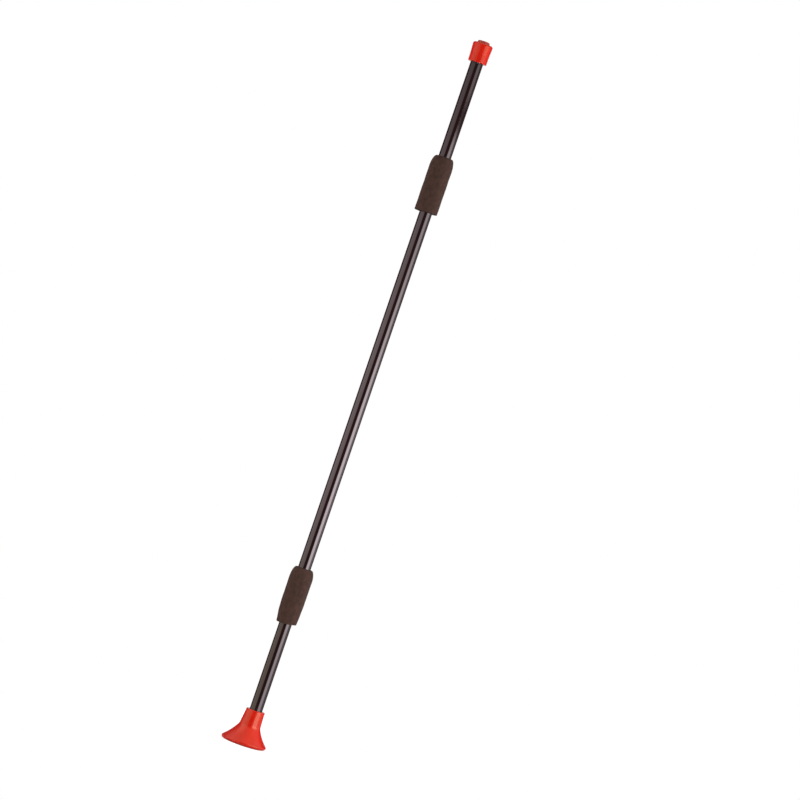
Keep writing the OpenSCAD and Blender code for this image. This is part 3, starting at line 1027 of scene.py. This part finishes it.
class DOORBAR_OT_lock(bpy.types.Operator):
    """Make the lock's threaded screw, stop nut and drag ring, and finish its moulded pieces"""

    bl_idname = "door_bar.lock"
    bl_label = "Twist lock"

    def execute(self, context):
        sizes = context.scene.door_bar_lock
        piece("threaded_screw", "lock_screw", screw_grid(sizes), poles=True)
        piece("hexagon_nut", "stop_nut", nut_grid(sizes))
        outer, low, high = reach("drag_ring")
        thick = (high - low) / 2
        turn = np.linspace(0, 2 * pi, RING_STEPS, endpoint=False)
        ring = np.stack([outer - thick + thick * np.cos(turn), (low + high) / 2 + thick * np.sin(turn)], 1)
        piece("drag_o_ring", "drag_ring", carried_round(ring))
        for node in ("screw_plug", "expander_sleeve", "wedge_nut"):
            frame["nodes"][node].material_slots[0].material = finish(SLOT_OF[node])
        return {"FINISHED"}


def screw_grid(sizes):
    """Grid of the lock screw: a turned outline, cut by a hexagon at its head and by a helix on its thread.

    The thread's radius falls by thread_depth times twice the distance, in turns, from the nearest crest:
    crests lie where height / pitch minus angle / 2 pi is a whole number.
    """
    _, bottom, top = reach("lock_screw")
    radius = sizes.screw_radius
    corner = sizes.hex_width / 2 / cos(pi / HEX)
    under = top - sizes.head_height
    thread_end = reach("wedge_nut")[2]
    threaded = np.array([(radius, bottom + sizes.chamfer), (radius, thread_end)])
    plain = rounded([
        (radius, thread_end + sizes.pitch, 0), (radius, under, FINE_EDGE / 2), (corner, under, 0),
        (corner, top - sizes.chamfer / 2, 0), (sizes.head_face, top, 0), (0, top, 0),
    ])
    grid = carried_round(np.vstack([
        [(0, bottom), (radius - sizes.chamfer, bottom)], spaced(threaded, sizes.pitch / THREAD_STEPS),
        spaced(plain, HEAD_STEP),
    ]))
    distance, angle = around(grid)
    height = grid[..., 2]
    crest = np.mod(height / sizes.pitch - angle / (2 * pi), 1)
    depth = sizes.thread_depth * 2 * np.minimum(crest, 1 - crest)
    cut = (height >= bottom + sizes.chamfer / 2) * (1 - smooth(height, thread_end - sizes.pitch, thread_end))
    shank = np.where(distance <= radius + SAME_SIZE, distance - depth * cut, distance)
    hexed = np.minimum(shank, hexagon(angle, sizes.hex_width))
    return with_radius(grid, np.where(height >= under - SAME_SIZE, hexed, shank))


def nut_grid(sizes):
    """Grid of the stop nut: a chamfered ring, cut by a hexagon."""
    _, bottom, top = reach("stop_nut")
    bore = sizes.screw_radius + PRESS_GAP
    corner = sizes.hex_width / 2 / cos(pi / HEX)
    face = sizes.nut_face
    lead = sizes.chamfer / 2
    path = rounded([
        (bore, bottom + lead, 0), (bore + lead, bottom, 0), (face, bottom, 0), (corner, bottom + lead, 0),
        (corner, top - lead, 0), (face, top, 0), (bore + lead, top, 0), (bore, top - lead, 0),
    ])
    grid = carried_round(spaced(path, NUT_STEP))
    distance, angle = around(grid)
    return with_radius(grid, np.minimum(distance, hexagon(angle, sizes.hex_width)))


class DOORBAR_OT_fittings(bpy.types.Operator):
    """Make the washers, the stem's insert and the plug's two pins"""

    bl_idname = "door_bar.fittings"
    bl_label = "Small fittings"

    def execute(self, context):
        sizes = context.scene.door_bar_lock
        stem = context.scene.door_bar_cap.stem_radius
        tube_bore = reach("outer_tube")[0] - context.scene.door_bar_tubes.outer_wall
        rings = {
            "foot_disc": ("foot_washer", tube_bore / 2),
            "cap_disc": ("cap_washer", stem + FREE_GAP),
            "thrust_washer": ("lock_washer", sizes.screw_radius + PRESS_GAP),
            "stem_insert": ("top_insert", stem + PRESS_GAP),
        }
        for name, (node, hole) in rings.items():
            radius, bottom, top = reach(node)
            piece(name, node, carried_round(washer_path(radius, hole, bottom, top, sizes.edge)))
        for node, name in (("front_pin", "front_dowel"), ("back_pin", "back_dowel")):
            low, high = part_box(node)
            half = (high.y - low.y) / 2
            path = rounded([
                (0, -half, 0), (high.x, -half, sizes.edge), (high.x, half, sizes.edge), (0, half, 0),
            ])
            grid = laid_along_y(carried_round(path, PIN_TURNS), (low.y + high.y) / 2, (low.z + high.z) / 2)
            piece(name, node, grid, poles=True)
        return {"FINISHED"}


OPERATORS = (
    DOORBAR_OT_stage, DOORBAR_OT_outer_tube, DOORBAR_OT_foot, DOORBAR_OT_grips, DOORBAR_OT_cap,
    DOORBAR_OT_inner_tube, DOORBAR_OT_lock, DOORBAR_OT_fittings,
)


class DOORBAR_PT_sidebar(bpy.types.Panel):
    """Lists the bar's sizes and colours, and the operators that build it"""

    bl_idname = "DOORBAR_PT_sidebar"
    bl_label = "Door bar"
    bl_space_type = "VIEW_3D"
    bl_region_type = "UI"
    bl_category = "Door bar"

    def draw(self, context):
        for operator in OPERATORS:
            self.layout.operator(operator.bl_idname)
        for name, group in SETTINGS.items():
            box = self.layout.box()
            box.label(text=group.__doc__)
            for field in group.__annotations__:
                box.prop(getattr(context.scene, name), field)


CLASSES = (*SETTINGS.values(), *OPERATORS, DOORBAR_PT_sidebar)


def register():
    """Register the classes and hang the settings on the scene."""
    for cls in CLASSES:
        bpy.utils.register_class(cls)
    for name, group in SETTINGS.items():
        setattr(bpy.types.Scene, name, PointerProperty(type=group))


def unregister():
    """Take the settings off the scene and unregister the classes."""
    for name in SETTINGS:
        delattr(bpy.types.Scene, name)
    for cls in reversed(CLASSES):
        bpy.utils.unregister_class(cls)


def main():
    """Build the stage and every piece."""
    register()
    bpy.context.scene.view_settings.view_transform = "Standard"
    bpy.ops.door_bar.stage()
    bpy.ops.door_bar.outer_tube()
    bpy.ops.door_bar.foot()
    bpy.ops.door_bar.grips()
    bpy.ops.door_bar.cap()
    bpy.ops.door_bar.inner_tube()
    bpy.ops.door_bar.lock()
    bpy.ops.door_bar.fittings()


if __name__ == "__main__":
    main()
